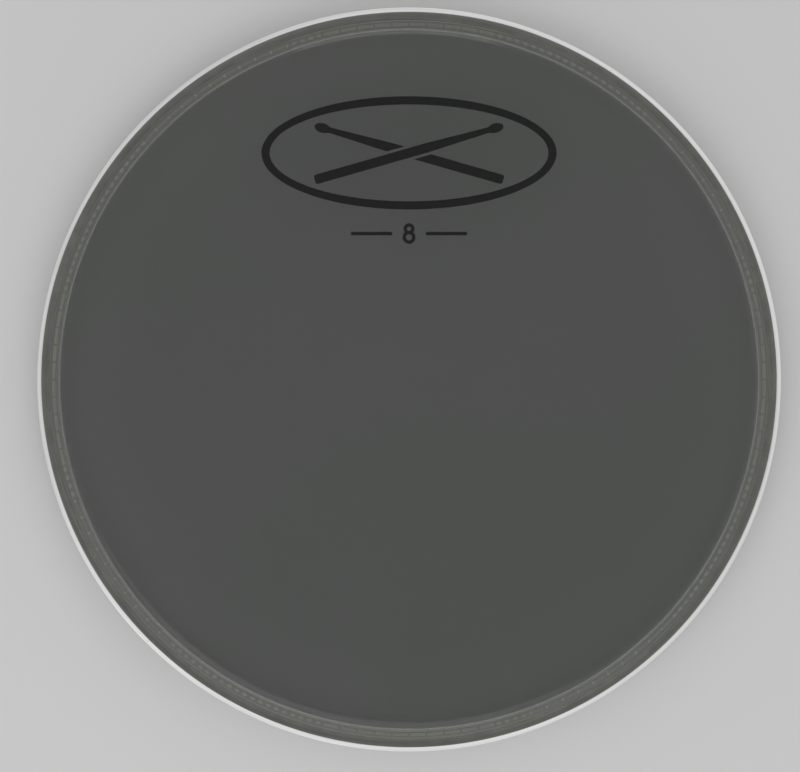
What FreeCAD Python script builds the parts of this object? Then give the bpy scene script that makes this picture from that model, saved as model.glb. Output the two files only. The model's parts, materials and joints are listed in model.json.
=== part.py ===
import FreeCAD, Part

import math
import os

# A small drum head: a clear film with a formed collar, locked by cast resin in a rolled channel hoop.
# Sizes are in millimetres and degrees. The origin is the centre of the hoop's underside, and +Z points
# out of the playing face. +Y is the side of the head that carries the printed mark.

# Drum shell that the head goes over
shell_diameter = 203.2
hoop_clearance = 1.1
collar_clearance = 0.35

# Channel hoop, with its butt seam
hoop_height = 9.5
outer_wall = 1.3
inner_wall = 1.3
inner_wall_drop = 1.05
channel_gap = 3.45
channel_floor = 1.3
channel_corner = 0.4
hoop_base_round = 0.8
hoop_rim_round = 0.25
seam_angle = 225.0
seam_width = 0.1

# Strip that bridges the seam on the channel's floor
splice_length = 26.0
splice_thickness = 0.9
splice_side_gap = 0.1

# Film
film_thickness = 0.254
collar_rise = 5.8
collar_bend_radius = 2.4
foot_bend_radius = 0.8
knee_bend_radius = 0.8
skirt_clearance = 0.4

# Slots punched through the film's shoulder. A quarter of the ring is a row of equal steps: clockwise from
# +Y it has long, square, narrow, square and long slots. A share is a slot's place within its step.
long_step_count = 5
square_step_count = 10
narrow_step_count = 10
last_square_step_count = 2
long_slot_shares = (0.5,)
square_slot_shares = (0.3, 0.8)
narrow_slot_shares = (0.87,)
slot_width = 0.9
slot_inner_margin = 0.12
slot_outer_margin = 0.25
long_slot_gap = 0.6
square_slot_gap = 1.25
narrow_slot_length = 0.6

# Resin
bond_thickness = 0.25
bond_recess = 0.55
resin_knee_drop = 0.1
resin_sag = 0.12
resin_rim_drop = 1.0
resin_hollow_radius = 1.5

# Printed mark: two crossed sticks in an oval, over a plain size number between two bars
ink_thickness = 0.06
mark_edge_margin = 17.3
oval_width = 86.0
oval_height = 33.0
oval_line = 2.4
stick_angle = 16.0
stick_end_gap = 4.0
stick_butt_width = 2.8
stick_neck_width = 1.5
stick_tip_length = 4.8
stick_tip_width = 2.8
stick_taper_share = 0.6
crossing_gap = 0.8
number_gap = 4.0
number_line = 1.0
number_upper_radius = 1.6
number_lower_radius = 1.9
bar_gap = 3.0
bar_length = 12.0
bar_width = 1.0

# Radii worked out from the shell
shell_radius = shell_diameter / 2
bore_radius = shell_radius + hoop_clearance
inner_wall_face = bore_radius + inner_wall
outer_wall_face = inner_wall_face + channel_gap
hoop_radius = outer_wall_face + outer_wall
collar_radius = shell_radius + collar_clearance + film_thickness
flat_radius = collar_radius - collar_bend_radius
foot_radius = collar_radius + foot_bend_radius
bond_radius = bore_radius + bond_recess
slot_inner_radius = bond_radius + slot_inner_margin
slot_outer_radius = slot_inner_radius + slot_width
slot_middle_radius = (slot_inner_radius + slot_outer_radius) / 2
knee_radius = slot_outer_radius + slot_outer_margin
skirt_radius = knee_radius + knee_bend_radius

# Levels worked out from the hoop
inner_wall_top = hoop_height - inner_wall_drop
shoulder_under = inner_wall_top + bond_thickness
shoulder_top = shoulder_under + film_thickness
film_top = hoop_height + collar_rise
splice_top = channel_floor + splice_thickness
skirt_bottom = splice_top + skirt_clearance
resin_at_film = shoulder_top - knee_bend_radius - resin_knee_drop
resin_at_rim = hoop_height - resin_rim_drop

axis_start = FreeCAD.Vector(0, 0, 0)
axis_up = FreeCAD.Vector(0, 0, 1)


def in_section(radius, level):
    return FreeCAD.Vector(radius, 0, level)


def on_film(x, y):
    return FreeCAD.Vector(x, y, film_top)


def arc_degrees(length, radius):
    return math.degrees(length / radius)


def rounded_corner(last, corner, following, radius):
    """The start, middle and end of the arc that rounds a corner between its two neighbours."""
    if radius == 0:
        return corner, corner, corner
    to_last = (last - corner).normalize()
    to_next = (following - corner).normalize()
    half_angle = to_last.getAngle(to_next) / 2
    reach = radius / math.tan(half_angle)
    inward = (to_last + to_next).normalize()
    middle = corner + inward * (radius / math.sin(half_angle) - radius)
    return corner + to_last * reach, middle, corner + to_next * reach


def rounded_edges(corners, place, closed):
    """Straight runs between corners (u, v, radius), each corner rounded by a tangent arc."""
    points = [place(u, v) for u, v, radius in corners]
    count = len(points)
    arcs = []
    for index, (u, v, radius) in enumerate(corners):
        following = points[(index + 1) % count]
        arcs.append(rounded_corner(points[index - 1], points[index], following, radius))
    if closed:
        arcs.append(arcs[0])
    edges = []
    for last, arc in zip(arcs, arcs[1:]):
        if not last[2].isEqual(arc[0], Part.Precision.confusion()):
            edges.append(Part.LineSegment(last[2], arc[0]).toShape())
        if arc[0] != arc[2]:
            edges.append(Part.Arc(*arc).toShape())
    return edges


def rounded_face(corners, place):
    return Part.Face(Part.Wire(rounded_edges(corners, place, True)))


def turned_solid(corners):
    """A full ring whose section has these corners, given as (radius, level, rounding)."""
    return rounded_face(corners, in_section).revolve(axis_start, axis_up, 360)


def turned_faces(corners):
    """The open skin that a path of such corners sweeps round the axis."""
    faces = []
    for edge in rounded_edges(corners, in_section, False):
        faces += edge.revolve(axis_start, axis_up, 360).Faces
    return faces


def stitched_solid(faces):
    shell = Part.makeShell(faces)
    shell.sewShape()
    return Part.makeSolid(shell)


def make_channel_hoop():
    ring = turned_solid(
        [
            (bore_radius, 0, hoop_base_round),
            (hoop_radius, 0, hoop_base_round),
            (hoop_radius, hoop_height, hoop_rim_round),
            (outer_wall_face, hoop_height, hoop_rim_round),
            (outer_wall_face, channel_floor, channel_corner),
            (inner_wall_face, channel_floor, channel_corner),
            (inner_wall_face, inner_wall_top, 0),
            (bore_radius, inner_wall_top, 0),
        ]
    )
    seam_start = FreeCAD.Vector(bore_radius - outer_wall, -seam_width / 2, -hoop_height / 2)
    seam = Part.makeBox(2 * (hoop_radius - bore_radius), seam_width, 2 * hoop_height, seam_start)
    seam.rotate(axis_start, axis_up, seam_angle)
    return ring.cut(seam)


def make_hoop_splice():
    """A piece of a flat ring on the channel's floor, clear of its rounded corners, centred on the seam."""
    side = channel_corner + splice_side_gap
    inner = inner_wall_face + side
    outer = outer_wall_face - side
    section = rounded_face(
        [(inner, channel_floor, 0), (outer, channel_floor, 0), (outer, splice_top, 0), (inner, splice_top, 0)],
        in_section,
    )
    sweep = arc_degrees(splice_length, (inner + outer) / 2)
    splice = section.revolve(axis_start, axis_up, sweep)
    splice.rotate(axis_start, axis_up, seam_angle - sweep / 2)
    return splice


def slot_places():
    """The middle angle and the sweep of every slot, in degrees counted from +X."""
    step_count = 2 * long_step_count + square_step_count + narrow_step_count + last_square_step_count
    step = 90 / step_count
    long_sweep = step - arc_degrees(long_slot_gap, slot_middle_radius)
    square_sweep = step / 2 - arc_degrees(square_slot_gap, slot_middle_radius)
    narrow_sweep = arc_degrees(narrow_slot_length, slot_middle_radius)
    quarter = [(long_slot_shares, long_sweep)] * long_step_count
    quarter += [(square_slot_shares, square_sweep)] * square_step_count
    quarter += [(narrow_slot_shares, narrow_sweep)] * narrow_step_count
    quarter += [(square_slot_shares, square_sweep)] * last_square_step_count
    quarter += [(long_slot_shares, long_sweep)] * long_step_count
    places = []
    for index, (shares, sweep) in enumerate(quarter * 4):
        places += [(90 - (index + share) * step, sweep) for share in shares]
    return places


def slot_outlines(level):
    """Closed outlines of the slots: two arcs round the axis, joined by two short radial ends."""
    outlines = []
    for angle, sweep in slot_places():
        turns = [math.radians(angle + share * sweep) for share in (-1 / 2, 0, 1 / 2)]
        inner, outer = [
            [FreeCAD.Vector(radius * math.cos(turn), radius * math.sin(turn), level) for turn in turns]
            for radius in (slot_inner_radius, slot_outer_radius)
        ]
        edges = [
            Part.Arc(*inner).toShape(),
            Part.LineSegment(inner[2], outer[2]).toShape(),
            Part.Arc(*outer[::-1]).toShape(),
            Part.LineSegment(outer[0], inner[0]).toShape(),
        ]
        outlines.append(Part.Wire(edges))
    return outlines


def slotted_ring(inner, outer, level):
    """A flat ring face with every slot left open in it."""
    centre = FreeCAD.Vector(0, 0, level)
    rims = [Part.Wire([Part.Circle(centre, axis_up, radius).toShape()]) for radius in (outer, inner)]
    return Part.makeFace(rims + slot_outlines(level), "Part::FaceMakerBullseye")


def slot_walls():
    walls = []
    for outline in slot_outlines(shoulder_under):
        walls += outline.extrude(axis_up * film_thickness).Faces
    return walls


def make_head_film():
    thick = film_thickness
    upper_side = turned_faces(
        [
            (0, film_top, 0),
            (collar_radius, film_top, collar_bend_radius),
            (collar_radius, shoulder_top, foot_bend_radius),
            (foot_radius, shoulder_top, 0),
        ]
    )
    under_side = turned_faces(
        [
            (0, film_top - thick, 0),
            (collar_radius - thick, film_top - thick, collar_bend_radius - thick),
            (collar_radius - thick, shoulder_under, foot_bend_radius + thick),
            (foot_radius, shoulder_under, 0),
        ]
    )
    skirt = turned_faces(
        [
            (knee_radius, shoulder_top, 0),
            (skirt_radius, shoulder_top, knee_bend_radius),
            (skirt_radius, skirt_bottom, 0),
            (skirt_radius - thick, skirt_bottom, 0),
            (skirt_radius - thick, shoulder_under, knee_bend_radius - thick),
            (knee_radius, shoulder_under, 0),
        ]
    )
    shoulder = [slotted_ring(foot_radius, knee_radius, level) for level in (shoulder_under, shoulder_top)]
    return stitched_solid(upper_side + under_side + skirt + shoulder + slot_walls())


def make_locking_resin(splice):
    """The channel's fill round the film's skirt, with a thin bond under the shoulder and a plug in each slot."""
    skirt_inside = skirt_radius - film_thickness
    fill = turned_faces(
        [
            (bond_radius, shoulder_under, 0),
            (bond_radius, inner_wall_top, 0),
            (inner_wall_face, inner_wall_top, 0),
            (inner_wall_face, channel_floor, channel_corner),
            (outer_wall_face, channel_floor, channel_corner),
            (outer_wall_face, resin_at_rim, 0),
            ((skirt_radius + outer_wall_face) / 2, resin_at_film - resin_sag, resin_hollow_radius),
            (skirt_radius, resin_at_film, 0),
            (skirt_radius, skirt_bottom, 0),
            (skirt_inside, skirt_bottom, 0),
            (skirt_inside, shoulder_under, knee_bend_radius - film_thickness),
            (knee_radius, shoulder_under, 0),
        ]
    )
    bond = slotted_ring(bond_radius, knee_radius, shoulder_under)
    plug_tops = [Part.Face(outline) for outline in slot_outlines(shoulder_top)]
    return stitched_solid(fill + [bond] + slot_walls() + plug_tops).cut(splice)


def printed(face):
    return face.extrude(axis_up * ink_thickness)


def ellipse_face(width, height, centre_x, centre_y):
    """An ellipse on the film, wider than it is high."""
    outline = Part.Ellipse(on_film(centre_x, centre_y), width / 2, height / 2).toShape()
    return Part.Face(Part.Wire([outline]))


def disc_face(radius, centre_x, centre_y):
    outline = Part.Circle(on_film(centre_x, centre_y), axis_up, radius).toShape()
    return Part.Face(Part.Wire([outline]))


def stick(length, centre_y, slant, grow):
    """One drum stick with its outline grown all round, turned about its middle from +X."""
    butt = stick_butt_width / 2 + grow
    neck = stick_neck_width / 2 + grow
    tip_middle = (length - stick_tip_length) / 2
    taper = length * (stick_taper_share - 1 / 2)
    shaft = rounded_face(
        [
            (-length / 2 - grow, centre_y - butt, butt / 2),
            (taper, centre_y - butt, 0),
            (tip_middle, centre_y - neck, 0),
            (tip_middle, centre_y + neck, 0),
            (taper, centre_y + butt, 0),
            (-length / 2 - grow, centre_y + butt, butt / 2),
        ],
        on_film,
    )
    tip = ellipse_face(stick_tip_length + 2 * grow, stick_tip_width + 2 * grow, tip_middle, centre_y)
    whole = printed(shaft).fuse(printed(tip)).removeSplitter()
    whole.rotate(on_film(0, centre_y), axis_up, slant)
    return whole


def make_oval(centre_y):
    inside = ellipse_face(oval_width - 2 * oval_line, oval_height - 2 * oval_line, 0, centre_y)
    return printed(ellipse_face(oval_width, oval_height, 0, centre_y)).cut(printed(inside))


def make_crossed_sticks(centre_y):
    """Two sticks that reach to a fixed gap from the oval's inside, with a gap where one passes the other."""
    slant = math.radians(stick_angle)
    across = math.cos(slant) / (oval_width / 2 - oval_line)
    up = math.sin(slant) / (oval_height / 2 - oval_line)
    length = 2 * (1 / math.hypot(across, up) - stick_end_gap)
    over = stick(length, centre_y, stick_angle, 0)
    under = stick(length, centre_y, 180 - stick_angle, 0)
    return [over, under.cut(stick(length, centre_y, stick_angle, crossing_gap))]


def make_size_number(top_y):
    """An 8 of two rings, which share one line's width where they meet, between two bars."""
    upper_y = top_y - number_upper_radius
    lower_y = upper_y - number_upper_radius - number_lower_radius + number_line
    number = printed(disc_face(number_upper_radius, 0, upper_y))
    number = number.fuse(printed(disc_face(number_lower_radius, 0, lower_y)))
    number = number.cut(printed(disc_face(number_upper_radius - number_line, 0, upper_y)))
    number = number.cut(printed(disc_face(number_lower_radius - number_line, 0, lower_y)))
    middle_y = (top_y + lower_y - number_lower_radius) / 2
    low = middle_y - bar_width / 2
    high = middle_y + bar_width / 2
    corner = bar_width / 4
    bars = []
    for side in (-1, 1):
        near = side * (number_lower_radius + bar_gap)
        far = near + side * bar_length
        outline = [(near, low, corner), (far, low, corner), (far, high, corner), (near, high, corner)]
        bars.append(printed(rounded_face(outline, on_film)))
    return [number] + bars


def make_printed_mark():
    centre_y = flat_radius - mark_edge_margin - oval_height / 2
    pieces = [make_oval(centre_y)]
    pieces += make_crossed_sticks(centre_y)
    pieces += make_size_number(centre_y - oval_height / 2 - number_gap)
    return Part.Compound([solid for piece in pieces for solid in piece.Solids])


hoop_splice = make_hoop_splice()
nodes = {
    "channel_hoop": make_channel_hoop(),
    "hoop_splice": hoop_splice,
    "head_film": make_head_film(),
    "locking_resin": make_locking_resin(hoop_splice),
    "printed_mark": make_printed_mark(),
}
os.makedirs("parts", exist_ok=True)
for name, shape in nodes.items():
    shape.exportStep("parts/" + name + ".step")
    print(name, len(shape.Solids), "solids,", round(shape.Volume, 2), "mm3, valid", shape.isValid())
print("hoop outside diameter", round(2 * hoop_radius, 2), "height", round(film_top + ink_thickness, 2))
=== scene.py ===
# %% [markdown]
# # Dressing a clear drum head
# A drum head is a thin film with a formed collar, and its edge is cast into a channel hoop. The solids of
# those pieces are packed already, at their real size. This lesson loads them as a fixed frame, gives each
# visible piece a finer skin in the same place, and then adds finishes, light and a camera.

# %% Load the frame
import json
import math

import bpy
import numpy as np
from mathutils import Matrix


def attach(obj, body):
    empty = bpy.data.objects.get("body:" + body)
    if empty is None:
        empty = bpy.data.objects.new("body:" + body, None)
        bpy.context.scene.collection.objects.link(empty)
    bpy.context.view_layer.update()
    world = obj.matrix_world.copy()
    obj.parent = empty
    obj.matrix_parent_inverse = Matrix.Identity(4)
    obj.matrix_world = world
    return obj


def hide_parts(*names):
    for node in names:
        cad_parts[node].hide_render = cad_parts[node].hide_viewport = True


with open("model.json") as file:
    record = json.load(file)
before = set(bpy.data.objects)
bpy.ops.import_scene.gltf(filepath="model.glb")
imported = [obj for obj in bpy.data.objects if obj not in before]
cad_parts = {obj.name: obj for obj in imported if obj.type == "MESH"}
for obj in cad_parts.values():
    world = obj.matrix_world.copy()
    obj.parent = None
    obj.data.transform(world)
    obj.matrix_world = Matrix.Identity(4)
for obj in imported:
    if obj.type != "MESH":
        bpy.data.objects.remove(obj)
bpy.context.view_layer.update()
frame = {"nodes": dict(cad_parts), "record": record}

mm = 0.001
print("nodes:", ", ".join(sorted(frame["nodes"])))

# %% [markdown]
# ## The section in numbers
# Every piece is turned about one upright axis, so a few radii and levels settle the whole shape. They
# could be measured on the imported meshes, but those are faceted and a little under size. The mounts in the
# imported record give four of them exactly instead. The rest are thicknesses and gaps added to those four,
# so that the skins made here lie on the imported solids.

# %% Radii and levels
mounts = {mount["name"]: mount for mount in frame["record"]["mounts"]}
bore_radius = mounts["shell_bore"]["dims"]["r_mm"] * mm
collar_inside = mounts["collar_bore"]["dims"]["r_mm"] * mm
hoop_height = mounts["counterhoop_seat"]["pos_m"][2]
film_under = mounts["bearing_edge_seat"]["pos_m"][2]

wall = 1.3 * mm
channel_gap = 3.45 * mm
inner_wall_drop = 1.05 * mm
inner_wall_face = bore_radius + wall
outer_wall_face = inner_wall_face + channel_gap
hoop_radius = outer_wall_face + wall
inner_wall_top = hoop_height - inner_wall_drop

film_thickness = 0.254 * mm
bond_thickness = 0.25 * mm
film_top = film_under + film_thickness
collar_radius = collar_inside + film_thickness
shoulder_under = inner_wall_top + bond_thickness
shoulder_top = shoulder_under + film_thickness
print("hoop", round(2 * hoop_radius / mm, 2), "mm across, film", round(film_top / mm, 2), "mm up")

# %% [markdown]
# ## Paths with rounded corners
# A section is a path of (radius, level) points. Bent metal and formed film have no sharp corners, so each
# corner is turned on a tangent arc. A Bevel modifier could do that afterwards, but arcs in the path keep
# both sides of the thin film exactly parallel. A point just inside each end of a straight run keeps
# smooth shading flat in between.

# %% Straight runs
hold = 0.1 * mm


def held(path):
    """Adds a point one hold inside both ends of every run that is longer than three holds."""
    run = np.diff(path, axis=0)
    length = np.linalg.norm(run, axis=1, keepdims=True)
    inset = run / length * hold
    trio = np.stack([path[:-1], path[:-1] + inset, path[1:] - inset], axis=1)
    long_run = length > 3 * hold
    kept = np.concatenate([np.ones_like(long_run), long_run, long_run], axis=1)
    return np.concatenate([trio[kept], path[-1:]])


print("a straight run has", len(held(np.array([[0, 0], [mm, 0]]))), "points")

# %% Rounded corners
arc_steps = 8


def rounded_path(corners):
    """Straight runs from corner to corner, each corner (radius, level, rounding) turned on a tangent arc.

    The arc's centre lies on the corner's bisector, at rounding / sin(half the corner's angle). Its points
    are sums of the two spokes to the tangent points, weighted by the sines of the angle left and the angle
    gone."""
    corners = np.array(corners, float)
    places = corners[:, :2]
    stretches = [places[:1]]
    for last, here, following, rounding in zip(places, places[1:], places[2:], corners[1:, 2]):
        if rounding == 0:
            stretches.append(here[None])
            continue
        to_last = (last - here) / np.linalg.norm(last - here)
        to_next = (following - here) / np.linalg.norm(following - here)
        half = np.arccos(to_last @ to_next) / 2
        bisector = (to_last + to_next) / np.linalg.norm(to_last + to_next)
        centre = here + bisector * rounding / np.sin(half)
        first_spoke = here + to_last * rounding / np.tan(half) - centre
        last_spoke = here + to_next * rounding / np.tan(half) - centre
        turn = np.pi - 2 * half
        share = np.linspace(0, 1, arc_steps + 1)[:, None]
        blend = np.sin((1 - share) * turn) * first_spoke + np.sin(share * turn) * last_spoke
        stretches.append(centre + blend / np.sin(turn))
    stretches.append(places[-1:])
    return held(np.concatenate(stretches))


square_turn = rounded_path([(0, 0, 0), (0, mm, mm / 2), (mm, mm, 0)])
print("a rounded square corner takes", len(square_turn), "points")

# %% [markdown]
# ## Grids round the axis
# A path carried round the axis is a grid: one row for each point of the path, one column for each angle.
# A Screw modifier could turn it too. Plain arrays are used because slots, waves and seams then are masks
# and sums on the same grid. Cells are listed so that a path that runs outwards over the top shows its
# upper face.

# %% Grids
def turned(path, angles):
    """Carries a path round the axis: x = radius cos(angle), y = radius sin(angle), z = level."""
    radius = path[:, :1]
    level = path[:, 1:]
    return np.stack(np.broadcast_arrays(radius * np.cos(angles), radius * np.sin(angles), level), axis=-1)


def numbered(points, first=0):
    """The numbers of a grid's points, counted along its rows from a first number."""
    rows, columns = points.shape[:2]
    return first + np.arange(rows * columns).reshape(rows, columns)


def cells(numbers):
    """The corner numbers of every cell between neighbouring rows and columns."""
    return np.stack([numbers[:-1, :-1], numbers[1:, :-1], numbers[1:, 1:], numbers[:-1, 1:]], axis=-1)


def closed_round(numbers):
    """Repeats the first column after the last one, so that the cells go all the way round."""
    return np.concatenate([numbers, numbers[:, :1]], axis=1)


quarter_ring = turned(square_turn, np.linspace(0, np.pi / 2, 10))
print("a quarter turn of it has", len(cells(numbered(quarter_ring)).reshape(-1, 4)), "cells")

# %% [markdown]
# ## From arrays to a piece
# The arrays become one mesh object that stays at the origin, rides on the head's only body and stands in
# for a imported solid. BMesh could build it face by face, but whole arrays of points and corner numbers are
# shorter and faster. Points that no face uses are dropped. Edges that turn sharply stay sharp and the
# rest is shaded smooth, which keeps the punched slots crisp without more points.

# %% Pieces
sharp_angle = math.radians(32)


def make_piece(name, node, points, face_groups, lengths=None):
    """A mesh from points and arrays of corner numbers. Lengths, a pair for each point, become a UV map."""
    sizes = [group.size for group in face_groups]
    used, renumbered = np.unique(np.concatenate([g.ravel() for g in face_groups]), return_inverse=True)
    blocks = np.split(renumbered, np.cumsum(sizes)[:-1])
    shaped = [block.reshape(group.shape) for block, group in zip(blocks, face_groups)]
    faces = [face for block in shaped for face in block.tolist()]
    mesh = bpy.data.meshes.new(name)
    mesh.from_pydata(points.reshape(-1, 3)[used].tolist(), [], faces)
    mesh.polygons.foreach_set("use_smooth", np.ones(len(mesh.polygons), bool))
    mesh.set_sharp_from_angle(angle=sharp_angle)
    if lengths is not None:
        corner_points = np.empty(len(mesh.loops), np.int32)
        mesh.loops.foreach_get("vertex_index", corner_points)
        corner_lengths = lengths.reshape(-1, 2)[used][corner_points]
        mesh.uv_layers.new(name="lengths").data.foreach_set("uv", corner_lengths.ravel())
    piece = bpy.data.objects.new(name, mesh)
    bpy.context.scene.collection.objects.link(piece)
    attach(piece, "root")
    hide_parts(node)
    mesh.calc_loop_triangles()
    print(name, "in place of", node, "with", len(mesh.loop_triangles), "triangles")
    return piece


# %% [markdown]
# ## The channel hoop
# The hoop is a strip of aluminium, rolled into a U-channel, bent round and butted. Its two ends meet in a
# hairline seam, so the section is carried from one side of the seam round to the other and closed by an
# end face on each. A full ring with a cut would do as well, but the open strip also gives each point its
# length round and across the strip. Those two lengths become the UV map along which the finish is drawn.

# %% Hoop section
channel_corner = 0.4 * mm
base_round = 0.8 * mm
inner_rim_round = 0.1 * mm
outer_rim_round = 0.2 * mm

hoop_path = rounded_path(
    [
        (bore_radius, inner_wall_top, 0),
        (inner_wall_face, inner_wall_top, 0),
        (inner_wall_face, wall, channel_corner),
        (outer_wall_face, wall, channel_corner),
        (outer_wall_face, hoop_height, inner_rim_round),
        (hoop_radius, hoop_height, outer_rim_round),
        (hoop_radius, 0, base_round),
        (bore_radius, 0, base_round),
        (bore_radius, inner_wall_top, 0),
    ]
)
across = np.concatenate([[0], np.cumsum(np.linalg.norm(np.diff(hoop_path, axis=0), axis=1))])
print("the strip is", round(across[-1] / mm, 1), "mm round its section")

# %% Hoop skin
seam_angle = math.radians(225)
seam_width = 0.1 * mm
hoop_columns = 721

half_seam = seam_width / hoop_radius / 2
hoop_angles = np.linspace(seam_angle + half_seam, seam_angle + 2 * np.pi - half_seam, hoop_columns)
hoop_points = turned(hoop_path, hoop_angles)
hoop_numbers = numbered(hoop_points)
hoop_numbers[-1] = hoop_numbers[0]
seam_ends = np.stack([hoop_numbers[:-1, 0][::-1], hoop_numbers[:-1, -1]])
hoop = make_piece(
    "hoop_skin",
    "channel_hoop",
    hoop_points,
    [cells(hoop_numbers).reshape(-1, 4), seam_ends],
    np.stack(np.broadcast_arrays(hoop_angles * hoop_radius, across[:, None]), axis=-1),
)

# %% [markdown]
# ## The slots
# The film's shoulder is punched all round so that resin can flow through it and lock it. A quarter turn
# is 32 equal steps: long slots first, then pairs of square ones, then narrow ones, then squares and long
# ones again. Each slot is kept as its place, in steps, and the angle that it sweeps.

# %% Slot sizes
slot_setback = 0.67 * mm
slot_width = 0.9 * mm
long_land = 0.6 * mm
square_land = 1.25 * mm
narrow_length = 0.6 * mm
slot_inner = bore_radius + slot_setback
slot_outer = slot_inner + slot_width
slot_middle = (slot_inner + slot_outer) / 2

quarter_steps = 32
slot_step = np.pi / 2 / quarter_steps
long_sweep = slot_step - long_land / slot_middle
square_sweep = slot_step / 2 - square_land / slot_middle
narrow_sweep = narrow_length / slot_middle
print("a step is", round(slot_step * slot_middle / mm, 2), "mm long")

# %% Slot angles
long_slot = [(0.5, long_sweep)]
square_slots = [(0.3, square_sweep), (0.8, square_sweep)]
narrow_slot = [(0.87, narrow_sweep)]
quarter = 5 * [long_slot] + 10 * [square_slots] + 10 * [narrow_slot] + 2 * [square_slots] + 5 * [long_slot]
steps = enumerate(4 * quarter)
slots = np.array([(index + share, sweep) for index, step in steps for share, sweep in step])
slot_angles = (np.pi / 2 - slots[:, 0] * slot_step)[::-1]
slot_sweeps = slots[::-1, 1]
print(len(slots), "slots, the narrowest", round(slot_sweeps.min() * slot_middle / mm, 2), "mm long")

# %% [markdown]
# Cutting the slots with a Boolean modifier would leave ragged faces. Instead the film's grid gets a
# column at each end of each slot, with every stretch between divided evenly, and a mask says which
# columns lie in a slot. A slot's walls then join the rows and columns at its rim on two grids.

# %% Columns
widest = math.radians(0.9)
slot_ends = np.stack([slot_angles - slot_sweeps / 2, slot_angles + slot_sweeps / 2], axis=1).ravel()
gaps = np.diff(np.append(slot_ends, slot_ends[0] + 2 * np.pi))
parts = np.ceil(gaps / widest).astype(int)
part_index = np.arange(parts.sum()) - np.repeat(np.cumsum(parts) - parts, parts)
angles = np.repeat(slot_ends, parts) + part_index * np.repeat(gaps / parts, parts)
in_slot = np.repeat(np.arange(len(gaps)) % 2 == 0, parts)
after_slot = np.roll(in_slot, 1)
print(len(angles), "columns,", int(in_slot.sum()), "of them in slots")

# %% Slot rims and walls
tolerance = 0.005 * mm


def slot_rows(path, level):
    """The rows of a path that lie between the slots' two rims on a flat at one level."""
    inside = (path[:, 0] > slot_inner - tolerance) & (path[:, 0] < slot_outer + tolerance)
    return np.flatnonzero(inside & (np.abs(path[:, 1] - level) < tolerance))


def slot_walls(upper, lower):
    """The four walls of every slot, facing into it, between an upper and a lower grid of slot rows."""
    rims = np.stack([upper, lower, np.roll(lower, -1, axis=1), np.roll(upper, -1, axis=1)], axis=-1)
    inner = rims[0, in_slot]
    outer = rims[-1, in_slot][:, ::-1]
    sides = np.stack([upper[:-1], upper[1:], lower[1:], lower[:-1]], axis=-1)
    opening = sides[:, in_slot & ~after_slot].reshape(-1, 4)
    closing = sides[:, ~in_slot & after_slot].reshape(-1, 4)[:, ::-1]
    return np.concatenate([inner, outer, opening, closing])


# %% [markdown]
# ## The film
# The film is one sheet: a flat playing face, a bend, an upright collar, a foot, the slotted shoulder, a
# knee and a skirt inside the channel. A Solidify modifier could thicken a single surface, but it would
# round the slots' walls. So the upper and the lower side are two paths, the same bends apart by the
# film's thickness, run together into one closed section. Forming leaves faint ripples in the collar: a
# few waves that fit the turn and fade out at its foot and its top.

# %% Ripples
def waves(angles, heights, counts):
    """A sum of waves that fit the turn: height * sin(count * angle + count) for each height and count."""
    return sum(height * np.sin(count * angles + count) for height, count in zip(heights, counts))


ripple = waves(angles, heights=(0.006 * mm, 0.005 * mm, 0.004 * mm), counts=(53, 89, 141))
print("ripples up to", round(np.abs(ripple).max() / mm, 4), "mm")

# %% Film section
collar_bend = 2.4 * mm
foot_bend = 0.8 * mm
knee_bend = 0.8 * mm
knee_land = 0.25 * mm
skirt_clearance = 1.3 * mm
bond_land = 0.12 * mm
first_ring = 12 * mm
knee_radius = slot_outer + knee_land
skirt_radius = knee_radius + knee_bend
skirt_bottom = wall + skirt_clearance
bond_radius = slot_inner - bond_land


def film_side(depth):
    """The path of the film's surface at a depth below its upper side, from first ring to skirt end."""
    shoulder = shoulder_top - depth
    return rounded_path(
        [
            (first_ring, film_top - depth, 0),
            (collar_radius - depth, film_top - depth, collar_bend - depth),
            (collar_radius - depth, shoulder, foot_bend + depth),
            (bond_radius, shoulder, 0),
            (slot_inner, shoulder, 0),
            (slot_outer, shoulder, 0),
            (skirt_radius - depth, shoulder, knee_bend - depth),
            (skirt_radius - depth, skirt_bottom, 0),
        ]
    )


upper_side = film_side(0)
film_path = np.concatenate([upper_side, film_side(film_thickness)[::-1]])
film_points = turned(film_path, angles)
collar_share = np.clip((film_path[:, 1] - shoulder_top) / (film_under - shoulder_top), 0, 1)
growth = np.sin(np.pi * collar_share)[:, None] * ripple / collar_radius
film_points[..., :2] *= 1 + growth[..., None]
print("the film's path has", len(film_path), "points")

# %% [markdown]
# The cells of the slots are left out on both sides and replaced by walls. A fan of triangles round a
# middle point closes the flat on each side, because a grid can't shrink to a point without cells of no
# size.

# %% Film skin
film_numbers = numbered(film_points)
row_count = len(film_numbers)
upper_rows = slot_rows(upper_side, shoulder_top)
lower_rows = row_count - 1 - upper_rows
film_cells = cells(closed_round(film_numbers))
film_kept = np.ones(film_cells.shape[:2], bool)
film_kept[np.ix_(upper_rows[:-1], in_slot)] = False
film_kept[np.ix_(lower_rows[1:], in_slot)] = False

middles = np.array([[0, 0, film_top], [0, 0, film_under]])
upper_middle = film_numbers.size
upper_rim = closed_round(film_numbers[:1])[0]
lower_rim = closed_round(film_numbers[-1:])[0]
upper_fan = np.stack([np.full(len(angles), upper_middle), upper_rim[:-1], upper_rim[1:]], axis=-1)
lower_fan = np.stack([np.full(len(angles), upper_middle + 1), lower_rim[1:], lower_rim[:-1]], axis=-1)
film_walls = slot_walls(film_numbers[upper_rows], film_numbers[lower_rows])
film = make_piece(
    "film_skin",
    "head_film",
    np.concatenate([film_points.reshape(-1, 3), middles]),
    [film_cells[film_kept], film_walls, upper_fan, lower_fan],
)

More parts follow.
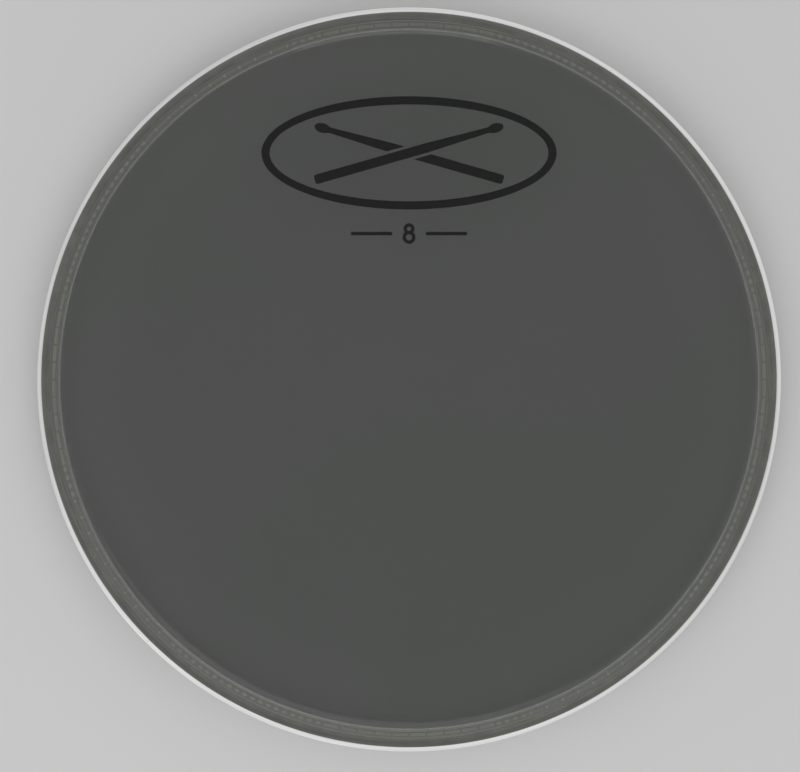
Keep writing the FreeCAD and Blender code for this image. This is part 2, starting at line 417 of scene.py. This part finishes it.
# %% [markdown]
# ## The resin
# The resin is poured into the channel round the film's skirt. It wets the hoop's wall and climbs it a
# little, and it sets with a slightly uneven surface. It could be one plain ring, but then it would cut
# through the skirt. Its closed path goes round the skirt instead, a hair clear of the film so that the
# two surfaces don't flicker, and the exposed stretch of its top rises and falls by a few waves.

# %% Resin section
hair = 0.01 * mm
skirt_showing = 0.1 * mm
rim_showing = 1.0 * mm
hollow_depth = 0.12 * mm
hollow_round = 1.5 * mm
skirt_inside = skirt_radius - film_thickness
resin_at_film = shoulder_top - knee_bend - skirt_showing
resin_at_rim = hoop_height - rim_showing
hollow_radius = (skirt_radius + outer_wall_face) / 2
bond_top = shoulder_under - hair

resin_path = rounded_path(
    [
        (bond_radius, bond_top, 0),
        (slot_inner, bond_top, 0),
        (slot_outer, bond_top, 0),
        (skirt_inside - hair, bond_top, knee_bend - film_thickness),
        (skirt_inside - hair, skirt_bottom - hair, 0),
        (skirt_radius + hair, skirt_bottom - hair, 0),
        (skirt_radius + hair, resin_at_film, 0),
        (hollow_radius, resin_at_film - hollow_depth, hollow_round),
        (outer_wall_face, resin_at_rim, 0),
        (outer_wall_face, wall, channel_corner),
        (inner_wall_face, wall, channel_corner),
        (inner_wall_face, inner_wall_top, 0),
        (bond_radius, inner_wall_top, 0),
        (bond_radius, bond_top, 0),
    ]
)
resin_points = turned(resin_path, angles)
exposed = (resin_path[:, 0] > skirt_radius) & (resin_path[:, 1] > resin_at_film - 2 * hollow_depth)
swell = np.sin(np.pi * (resin_path[exposed, :1] - skirt_radius) / (outer_wall_face - skirt_radius))
set_waves = waves(angles, heights=(0.02 * mm, 0.015 * mm, 0.01 * mm), counts=(7, 17, 41))
uneven = np.maximum(swell, 0) * set_waves
resin_points[exposed, :, 2] += uneven
print("the resin's top is uneven by", round(np.ptp(uneven) / mm, 3), "mm")

# %% [markdown]
# A plug of resin fills each slot, level with the film. The bond's cells under the slots are left out, and
# the plugs' walls and tops take their place, on columns that the film and the resin share.

# %% Resin skin
bond_rows = slot_rows(resin_path, bond_top)
plug_points = turned(resin_path[bond_rows] + (0, shoulder_top - bond_top), angles)
resin_numbers = numbered(resin_points)
plug_numbers = numbered(plug_points, resin_numbers.size)
resin_numbers[-1] = resin_numbers[0]
resin_cells = cells(closed_round(resin_numbers))
resin_kept = np.ones(resin_cells.shape[:2], bool)
resin_kept[np.ix_(bond_rows[:-1], in_slot)] = False
plug_walls = slot_walls(plug_numbers, resin_numbers[bond_rows])[:, ::-1]
plug_tops = cells(closed_round(plug_numbers))[:, in_slot].reshape(-1, 4)
resin = make_piece(
    "resin_skin",
    "locking_resin",
    np.concatenate([resin_points.reshape(-1, 3), plug_points.reshape(-1, 3)]),
    [resin_cells[resin_kept], plug_walls, plug_tops],
)

# %% [markdown]
# ## Shader helpers
# Each finish is one Principled shader with patterns on its sockets. The node trees could be drawn by hand
# in the editor, but code keeps them next to the sizes that they follow. One helper starts a material, and
# one adds a node, sets its options and either links or sets each input.

# %% Starting and wiring a material
def start_material(name):
    """A new material with its node tree and its Principled shader."""
    material = bpy.data.materials.new(name)
    material.use_nodes = True
    print("finish", name)
    return material, material.node_tree, material.node_tree.nodes["Principled BSDF"]


def feed(tree, node, inputs):
    """Links an input that is given a socket, and sets any other one to its value."""
    for key, value in inputs.items():
        if isinstance(value, bpy.types.NodeSocket):
            tree.links.new(value, node.inputs[key])
        else:
            node.inputs[key].default_value = value


def add_node(tree, kind, inputs, **options):
    """A shader node with its options set and its inputs fed."""
    node = tree.nodes.new("ShaderNode" + kind)
    for key, value in options.items():
        setattr(node, key, value)
    feed(tree, node, inputs)
    return node


# %% [markdown]
# The patterns are soft noise on Object coordinates, which are metres here, so a pattern's scale is a
# count of patches to the metre. Other helpers move a value from one range to another, blend two colours,
# and follow the distance from the head's axis, because everything that was formed or poured changes with
# that distance.

# %% Colours and places
def grey(level, green=1.0, blue=1.0):
    """A grey whose green and blue are scaled a little, for a tint."""
    return (level, level * green, level * blue, 1)


def object_place(tree):
    """A point's own coordinates, in metres."""
    return add_node(tree, "TexCoord", {}).outputs["Object"]


def from_axis(tree, place):
    """The distance of a point from the head's axis: the length of (x, y, 0)."""
    level_place = add_node(tree, "VectorMath", {0: place, 1: (1, 1, 0)}, operation="MULTIPLY").outputs[0]
    return add_node(tree, "VectorMath", {0: level_place}, operation="LENGTH").outputs["Value"]


# %% Patterns
noise_range = (0.3, 0.7)


def noise(tree, place, scale, detail=3.0):
    """A soft random field between 0 and 1 that lies mostly in the noise range."""
    return add_node(tree, "TexNoise", {"Vector": place, "Scale": scale, "Detail": detail}).outputs["Fac"]


def spread(tree, value, old, new):
    """Moves a value from an old range to a new one, smoothly, and holds it at the ends."""
    inputs = {"Value": value, "From Min": old[0], "From Max": old[1], "To Min": new[0], "To Max": new[1]}
    return add_node(tree, "MapRange", inputs, interpolation_type="SMOOTHSTEP").outputs["Result"]


def by_stops(tree, value, stops):
    """A share that runs straight from stop to stop, each stop a (value, share) pair."""
    low = stops[0][0]
    high = stops[-1][0]
    inputs = {"Value": value, "From Min": low, "From Max": high}
    along = add_node(tree, "MapRange", inputs).outputs["Result"]
    ramp = add_node(tree, "ValToRGB", {"Fac": along})
    elements = ramp.color_ramp.elements
    for stop, share in stops[1:-1]:
        elements.new((stop - low) / (high - low)).color = grey(share)
    elements[0].color = grey(stops[0][1])
    elements[-1].color = grey(stops[-1][1])
    return ramp.outputs["Color"]


# %% Sums, blends and bumps
def added(tree, first, second):
    """The sum of two values."""
    return add_node(tree, "Math", {0: first, 1: second}, operation="ADD").outputs[0]


def blended(tree, share, first, second):
    """A colour between two others. The node's colours are its inputs 6 and 7 and its output 2."""
    return add_node(tree, "Mix", {0: share, 6: first, 7: second}, data_type="RGBA").outputs[2]


def bumped(tree, height, strength, depth):
    """A normal tilted by the slopes of a height field."""
    inputs = {"Height": height, "Strength": strength, "Distance": depth}
    return add_node(tree, "Bump", inputs).outputs["Normal"]


# %% [markdown]
# ## Aluminium
# Rolled strip keeps fine lines along its length from the rollers. They run round the hoop, so Object
# coordinates won't do and the pattern is read from the strip's own lengths. Its scales are few patches to
# the metre along the strip and many across it. Fine and broad lines together vary the colour and the
# roughness, the fine ones also the height, and the highlight is stretched across them.

# %% Hoop finish
fine_scale = (25, 6000, 1)
broad_scale = (8, 900, 1)
line_range = (0.75, 1.25)
dull_metal = grey(0.65)
bright_metal = grey(0.75)

aluminium, tree, shader = start_material("rolled_aluminium")
strip = add_node(tree, "UVMap", {}, uv_map="lengths").outputs["UV"]
fine_place = add_node(tree, "Mapping", {"Vector": strip, "Scale": fine_scale}).outputs["Vector"]
broad_place = add_node(tree, "Mapping", {"Vector": strip, "Scale": broad_scale}).outputs["Vector"]
fine_lines = noise(tree, fine_place, scale=1.0)
lines = added(tree, fine_lines, noise(tree, broad_place, scale=1.0, detail=2.0))
shine = spread(tree, lines, line_range, (0, 1))
feed(
    tree,
    shader,
    {
        "Base Color": blended(tree, shine, dull_metal, bright_metal),
        "Metallic": 1.0,
        "Roughness": spread(tree, lines, line_range, (0.48, 0.32)),
        "Anisotropic": 0.8,
        "Anisotropic Rotation": 0.25,
        "Tangent": add_node(tree, "Tangent", {}, direction_type="UV_MAP", uv_map="lengths").outputs[0],
        "Normal": bumped(tree, fine_lines, strength=0.35, depth=0.03 * mm),
    },
)
hoop.data.materials.append(aluminium)

# %% [markdown]
# ## Film finish
# The film is glossy and see-through with a smoky grey body. A glass shader would bend the light in it but
# block the lamps, so the film has an alpha instead, one number in each finish: lamps shine through, and
# the floor below stays visible. Where the film is drawn over the collar it whitens, so a share of haze
# follows the distance from the axis, from stop to stop. Part of that share is painted light: the lighter
# band in the bend and the peak on the upright collar wall are a painted highlight where the wall is seen
# edge-on. The hoop shades the floor below the outer part of the flat. A faint painted lift of light there
# makes up for that shade, so that the flat looks even on this pale floor. It isn't a feature of the real
# film. Beyond the bond's edge the film is wetted by the resin and looks almost solid, and those faces get
# a denser finish. Their haze is raised a little over the slots, painted light that lifts the lands shaded
# between the plugs.

# %% Film recipe
smoke = grey(0.0139, 1.15, 1.01)
green_smoke = grey(0.0106, 1.62, 1.06)
smoke_range = (0.35, 0.65)
wander_reach = 0.025 * mm
shaded_reach = 28.0 * mm
# painted light: a faint lift of haze over the outer flat stands in for light that the hoop keeps off the
# floor below
painted_lift_haze = 0.026
shaded_radii = (collar_radius - shaded_reach, collar_radius - collar_bend)


def make_film(name, alpha, haze, haze_stops):
    """A smoky film with one alpha. Its haze is a faint painted lift of light that makes up for the shaded
    floor, and the share that the stops give for a distance from the axis, where the distance wanders a
    little."""
    material, tree, shader = start_material(name)
    place = object_place(tree)
    cloud = spread(tree, noise(tree, place, scale=9.0, detail=2.0), smoke_range, (0, 1))
    body = blended(tree, cloud, smoke, green_smoke)
    wander = spread(tree, noise(tree, place, scale=130.0), noise_range, (-wander_reach, wander_reach))
    radius = from_axis(tree, place)
    # painted light: the haze grows towards the outer flat to make up for the hoop's shade on the floor
    # below
    painted_flat_lift = spread(tree, radius, shaded_radii, (0, painted_lift_haze))
    # the haze share holds painted light: the lift over the outer flat and the highlight at the collar
    haze_and_painted_light = added(tree, painted_flat_lift, by_stops(tree, added(tree, radius, wander), haze_stops))
    gloss = noise(tree, place, scale=35.0, detail=4.0)
    waviness = noise(tree, place, scale=90.0, detail=2.0)
    feed(
        tree,
        shader,
        {
            "Base Color": blended(tree, haze_and_painted_light, body, haze),
            "Roughness": spread(tree, gloss, noise_range, (0.05, 0.11)),
            "IOR": 1.6,
            "Alpha": alpha,
            "Normal": bumped(tree, waviness, strength=0.03, depth=0.1 * mm),
        },
    )
    return material


# %% Film materials
# painted highlight: the rise in the bend and the peak at the collar wall stand in for the sheen of a wall
# seen edge-on, on top of the film's real whitening
free_stops = [
    (collar_radius - collar_bend, 0.0),
    (collar_radius - 1.0 * mm, 0.08),
    (collar_radius - 0.5 * mm, 0.24),
    (collar_radius - 0.3 * mm, 0.72),
    (collar_radius - 0.06 * mm, 1.0),
    (collar_radius + 0.08 * mm, 0.33),
    (collar_radius + foot_bend, 0.33),
]
# painted light: the haze over the slot band is raised a little to lift the lands that the plugs shade
bonded_stops = [
    (bond_radius, 0.354),
    (slot_middle, 0.364),
    (slot_outer, 0.334),
    (knee_radius, 0.214),
    (knee_radius + 0.3 * mm, 0.204),
    (skirt_radius, 0.794),
]
free_haze = grey(0.38, 1.01, 0.95)
bonded_haze = grey(0.32, 1.01, 0.9)
film.data.materials.append(make_film("free_film", alpha=0.48, haze=free_haze, haze_stops=free_stops))
film.data.materials.append(make_film("bonded_film", alpha=0.9, haze=bonded_haze, haze_stops=bonded_stops))

# %% Film faces
first_bonded = np.flatnonzero(upper_side[:, 0] > bond_radius - tolerance)[0]
cell_rows = np.broadcast_to(np.arange(row_count - 1)[:, None], film_kept.shape)[film_kept]
is_bonded = np.zeros(len(film.data.polygons), np.int32)
is_bonded[: len(cell_rows)] = (cell_rows >= first_bonded) & (cell_rows < row_count - 1 - first_bonded)
is_bonded[len(cell_rows) : len(cell_rows) + len(film_walls)] = 1
film.data.polygons.foreach_set("material_index", is_bonded)
print(int(is_bonded.sum()), "bonded faces of", len(is_bonded))

# %% [markdown]
# ## Resin finish
# Set resin is a dull, slightly yellow-green grey. It is cloudy, it holds fine bubbles, and it has faint
# streaks round the channel from the pouring. The streaks are noise on the distance from the axis with
# only a little of the place mixed in, which draws them out round the head without a UV map. Where the
# resin climbs the wall it is thin and lighter, and that lighter rim is also painted light that makes up
# for the shade of the wall beside it. The plugs are thin and lighter too, and get the same recipe with
# lighter colours.

# %% Resin recipe
climb_reach = 0.2 * mm
thin_lit_share = 0.8
drift_share = 0.02
mottle_range = (0.65, 1.35)
bubble_range = (0.1, 0.2)
climb_radius = hollow_radius - climb_reach


def make_resin(name, dark, light, thin):
    """Clouds and streaks from a dark to a light colour, with light bubbles and a thin rim at the wall,
    lightened also as painted light against the wall's shade.
    """
    material, tree, shader = start_material(name)
    place = object_place(tree)
    radius = from_axis(tree, place)
    along = add_node(tree, "CombineXYZ", {"X": radius}).outputs[0]
    drift = add_node(tree, "VectorMath", {0: place, "Scale": drift_share}, operation="SCALE").outputs[0]
    streak_place = add_node(tree, "VectorMath", {0: along, 1: drift}, operation="ADD").outputs[0]
    cloud = noise(tree, place, scale=220.0, detail=4.0)
    mottle = added(tree, cloud, noise(tree, streak_place, scale=1800.0))
    body = blended(tree, spread(tree, mottle, mottle_range, (0, 1)), dark, light)
    to_bubble = add_node(tree, "TexVoronoi", {"Vector": place, "Scale": 1500.0}).outputs["Distance"]
    bubbled = blended(tree, spread(tree, to_bubble, bubble_range, (1, 0)), body, light)
    # painted light: the rim by the wall is lighter partly because the resin is thin there and partly to
    # make up for the wall's shade
    thin_lit_rim = spread(tree, radius, (climb_radius, outer_wall_face), (0, thin_lit_share))
    feed(
        tree,
        shader,
        {
            "Base Color": blended(tree, thin_lit_rim, bubbled, thin),
            "Roughness": spread(tree, cloud, noise_range, (0.3, 0.45)),
            "IOR": 1.52,
            "Normal": bumped(tree, cloud, strength=0.25, depth=0.1 * mm),
        },
    )
    return material


# %% Resin materials
dark_fill = grey(0.074, 1.02, 0.93)
light_fill = grey(0.128, 1.02, 0.91)
dark_plug = grey(0.128, 1.0, 0.82)
light_plug = grey(0.166, 1.02, 0.86)
thin_and_lit_resin = grey(0.22, 1.01, 0.91)
resin.data.materials.append(make_resin("cast_resin", dark_fill, light_fill, thin_and_lit_resin))
resin.data.materials.append(make_resin("plug_resin", dark_plug, light_plug, thin_and_lit_resin))
is_plug = np.zeros(len(resin.data.polygons), np.int32)
is_plug[-len(plug_walls) - len(plug_tops) :] = 1
resin.data.polygons.foreach_set("material_index", is_plug)
print(int(is_plug.sum()), "plug faces of", len(is_plug))

# %% [markdown]
# ## Ink
# The print is a thin layer of black screen ink. It could be painted into the film's material, but its
# solid already has the right outline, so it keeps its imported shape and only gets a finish: a soft black
# with the faint unevenness that a screen leaves.

# %% Print finish
solid_ink = grey(0.004)
thin_ink = grey(0.009)

ink, tree, shader = start_material("screen_ink")
screen_marks = noise(tree, object_place(tree), scale=2500.0, detail=2.0)
thinned = spread(tree, screen_marks, noise_range, (0, 1))
feed(
    tree,
    shader,
    {
        "Base Color": blended(tree, thinned, solid_ink, thin_ink),
        "Roughness": spread(tree, screen_marks, noise_range, (0.4, 0.55)),
        "Specular IOR Level": 0.15,
        "Normal": bumped(tree, screen_marks, strength=0.1, depth=0.02 * mm),
    },
)
printed_mark = frame["nodes"]["printed_mark"]
printed_mark.data.materials.clear()
printed_mark.data.materials.append(ink)

# %% [markdown]
# ## Mill finish
# A short strip across the hoop's seam lies buried in the resin. It could go without a finish, because
# nobody sees it, but the pieces are also looked at one by one. It gets what a strip has straight from the
# mill: a fine grain that doesn't run anywhere.

# %% Splice finish
dull_mill = grey(0.6)
bright_mill = grey(0.7)

mill, tree, shader = start_material("mill_aluminium")
grain = noise(tree, object_place(tree), scale=900.0)
feed(
    tree,
    shader,
    {
        "Base Color": blended(tree, grain, dull_mill, bright_mill),
        "Metallic": 1.0,
        "Roughness": spread(tree, grain, noise_range, (0.4, 0.5)),
        "Normal": bumped(tree, grain, strength=0.1, depth=0.02 * mm),
    },
)
hoop_splice = frame["nodes"]["hoop_splice"]
hoop_splice.data.materials.clear()
hoop_splice.data.materials.append(mill)

# %% [markdown]
# ## Floor
# The head lies on a plain pale floor. A curved backdrop is usual in a studio, but it would stand in the
# way of views from behind. One wide disc leaves every side open, and its edge shows only from very low
# down. It lies a hair below the hoop, so that the two flat faces don't flicker, and its colour is barely
# uneven, like paper.

# %% Floor disc
floor_radius = 6.0
floor_corners = 96
paper_grey = grey(0.55)
paper_light = grey(0.565)

floor_angles = np.linspace(0, 2 * np.pi, floor_corners, endpoint=False)
floor_rim = turned(np.array([[floor_radius, -hair]]), floor_angles)[0]
floor_mesh = bpy.data.meshes.new("floor")
floor_mesh.from_pydata(floor_rim.tolist(), [], [list(range(len(floor_rim)))])
floor = bpy.data.objects.new("floor", floor_mesh)
bpy.context.scene.collection.objects.link(floor)

paper, tree, shader = start_material("pale_floor")
fibre = noise(tree, object_place(tree), scale=3.0)
feed(tree, shader, {"Base Color": blended(tree, fibre, paper_grey, paper_light), "Roughness": 0.9})
floor_mesh.materials.append(paper)
print("floor", 2 * floor_radius, "m across")

# %% [markdown]
# ## Sky
# The film's bend mirrors everything round it, and small lamps would draw hard lines there. So most of the
# light is a pale sky without edges. It is brightest high up at the front right, and its strength falls
# smoothly with the angle from there.

# %% Pale sky
brightest = (0.4, -0.4, 0.82)
dimmest_strength = 0.49
brightest_strength = 0.9

world = bpy.data.worlds.new("pale_sky")
world.use_nodes = True
bpy.context.scene.world = world
tree = world.node_tree
direction = add_node(tree, "TexCoord", {}).outputs["Generated"]
toward = add_node(tree, "VectorMath", {0: direction, 1: brightest}, operation="DOT_PRODUCT")
strength = spread(tree, toward.outputs["Value"], (-1, 1), (dimmest_strength, brightest_strength))
feed(tree, tree.nodes["Background"], {"Color": grey(1.0), "Strength": strength})
print("sky from", dimmest_strength, "to", brightest_strength)

# %% [markdown]
# ## Soft boxes
# Two soft boxes give the light a direction. A low one behind the print is mirrored in the bend there, as
# a window would be. One in front lifts the hoop's rim and the shoulder. It stands close, so the front of
# the head gets more of its light than the sides. Sun lamps would be simpler, but they light every side
# alike and nothing of them shows in the bend. The camera doesn't see the boxes themselves.

# %% Soft boxes
def add_soft_box(name, azimuth, elevation, distance, size, power):
    """A square lamp that faces the head from a bearing (anticlockwise from +X) and a height, in degrees."""
    lamp = bpy.data.lights.new(name, "AREA")
    lamp.size = size
    lamp.energy = power
    holder = bpy.data.objects.new(name, lamp)
    around = math.radians(azimuth)
    up = math.radians(elevation)
    flat = distance * math.cos(up)
    holder.location = (flat * math.cos(around), flat * math.sin(around), distance * math.sin(up))
    holder.rotation_euler = (math.pi / 2 - up, 0, around + math.pi / 2)
    holder.visible_camera = False
    bpy.context.scene.collection.objects.link(holder)
    print(name, power, "W,", round(holder.location.z, 2), "m up")


add_soft_box("back_box", azimuth=92, elevation=18, distance=2.2, size=1.25, power=5.9)
add_soft_box("front_box", azimuth=254, elevation=44, distance=0.65, size=0.75, power=1.0)

# %% [markdown]
# ## Camera
# The photograph looks straight down, and the collar and the hoop show almost no parallax. So the camera
# hangs far above the head with a long lens. It could be placed by eye, but its height and its place follow
# from where the hoop's circle lies in the image, in pixels from its top left corner: the hoop's radius
# gives the size of a pixel on the hoop's top.

# %% Camera
image_width = 800
image_height = 772
hoop_centre_in_image = (408.99, 379.53)
hoop_radius_in_image = 372.1
lens = 250.0
sensor = 36.0

pixel = hoop_radius / hoop_radius_in_image
camera_data = bpy.data.cameras.new("camera")
camera_data.lens = lens
camera_data.sensor_width = sensor
camera = bpy.data.objects.new("camera", camera_data)
camera.location = (
    (image_width / 2 - hoop_centre_in_image[0]) * pixel,
    (hoop_centre_in_image[1] - image_height / 2) * pixel,
    hoop_height + image_width * pixel * lens / sensor,
)
bpy.context.scene.collection.objects.link(camera)
bpy.context.scene.camera = camera
bpy.context.scene.view_settings.view_transform = "Standard"
print("camera", round(camera.location.z, 3), "m up, a pixel is", round(pixel / mm, 4), "mm")
